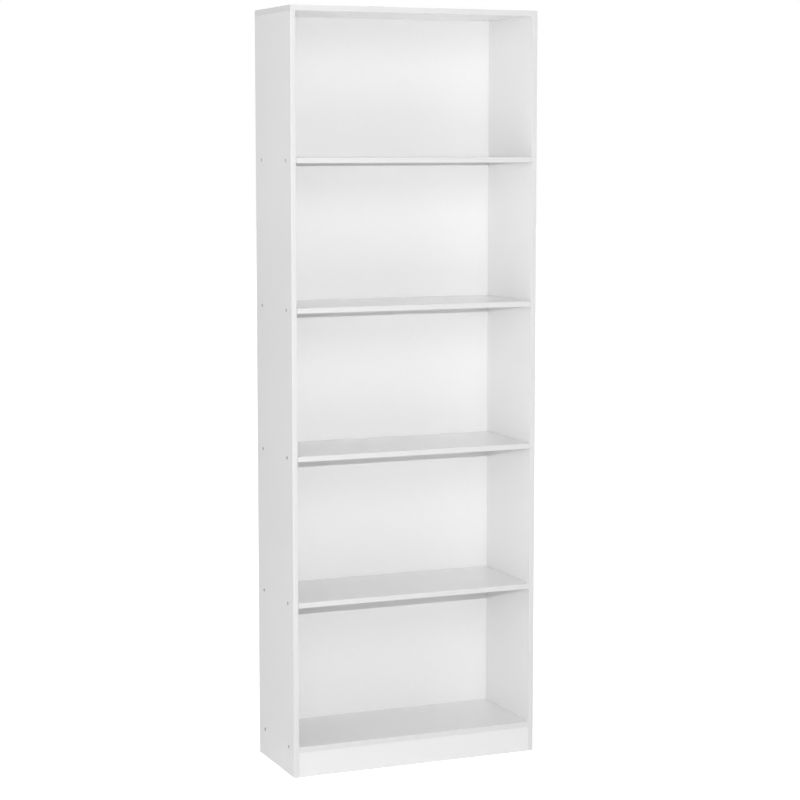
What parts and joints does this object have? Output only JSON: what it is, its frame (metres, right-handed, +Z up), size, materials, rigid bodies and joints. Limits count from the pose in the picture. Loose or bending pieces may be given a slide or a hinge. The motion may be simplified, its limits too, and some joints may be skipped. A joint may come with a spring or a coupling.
{
  "type": "bookcase with adjustable shelves",
  "caption": "Tall narrow open bookcase with a white board case, a nailed-on thin back, a flush plinth and shelves that lift off steel pins.",
  "frame": {"origin": "on the floor, under the middle of the case", "axes": "+Z up, the open front faces -Y, +X to the right of someone facing the back panel from the front"},
  "size_m": [0.6, 0.24, 1.746],
  "materials": {
    "melamine_board": "white melamine facing on chipboard, satin",
    "hardboard_back": "hardboard, white lacquer inside, bare brown fibre behind",
    "zinc_steel": "bright zinc plating",
    "nail_steel": "plain drawn steel",
    "bracket_steel": "pressed strip, zinc plated",
    "beech": "turned beech",
    "block_plastic": "moulded white plastic"
  },
  "bodies": {
    "case": {"left_side": "melamine_board", "right_side": "melamine_board", "top_panel": "melamine_board", "bottom_panel": "melamine_board", "plinth": "melamine_board", "back_panel": "hardboard_back", "shelf_1_pins": "zinc_steel", "shelf_2_pins": "zinc_steel", "shelf_3_pins": "zinc_steel", "shelf_4_pins": "zinc_steel", "bottom_panel_screws": "zinc_steel", "top_panel_screws": "zinc_steel", "top_panel_dowels": "beech", "plinth_dowels": "beech", "plinth_blocks": "block_plastic", "plinth_block_screws": "zinc_steel", "back_nails": "nail_steel", "wall_bracket": "bracket_steel", "wall_bracket_screws": "zinc_steel"},
    "shelf_1": {"shelf_1": "melamine_board"},
    "shelf_2": {"shelf_2": "melamine_board"},
    "shelf_3": {"shelf_3": "melamine_board"},
    "shelf_4": {"shelf_4": "melamine_board"}
  },
  "joints": [
    {"name": "shelf_1_lift", "type": "slide", "parent": "case", "child": "shelf_1", "axis": [0, 0, 1], "range_m": [0, 0.318]},
    {"name": "shelf_2_lift", "type": "slide", "parent": "case", "child": "shelf_2", "axis": [0, 0, 1], "range_m": [0, 0.318]},
    {"name": "shelf_3_lift", "type": "slide", "parent": "case", "child": "shelf_3", "axis": [0, 0, 1], "range_m": [0, 0.318]},
    {"name": "shelf_4_lift", "type": "slide", "parent": "case", "child": "shelf_4", "axis": [0, 0, 1], "range_m": [0, 0.318]}
  ]
}
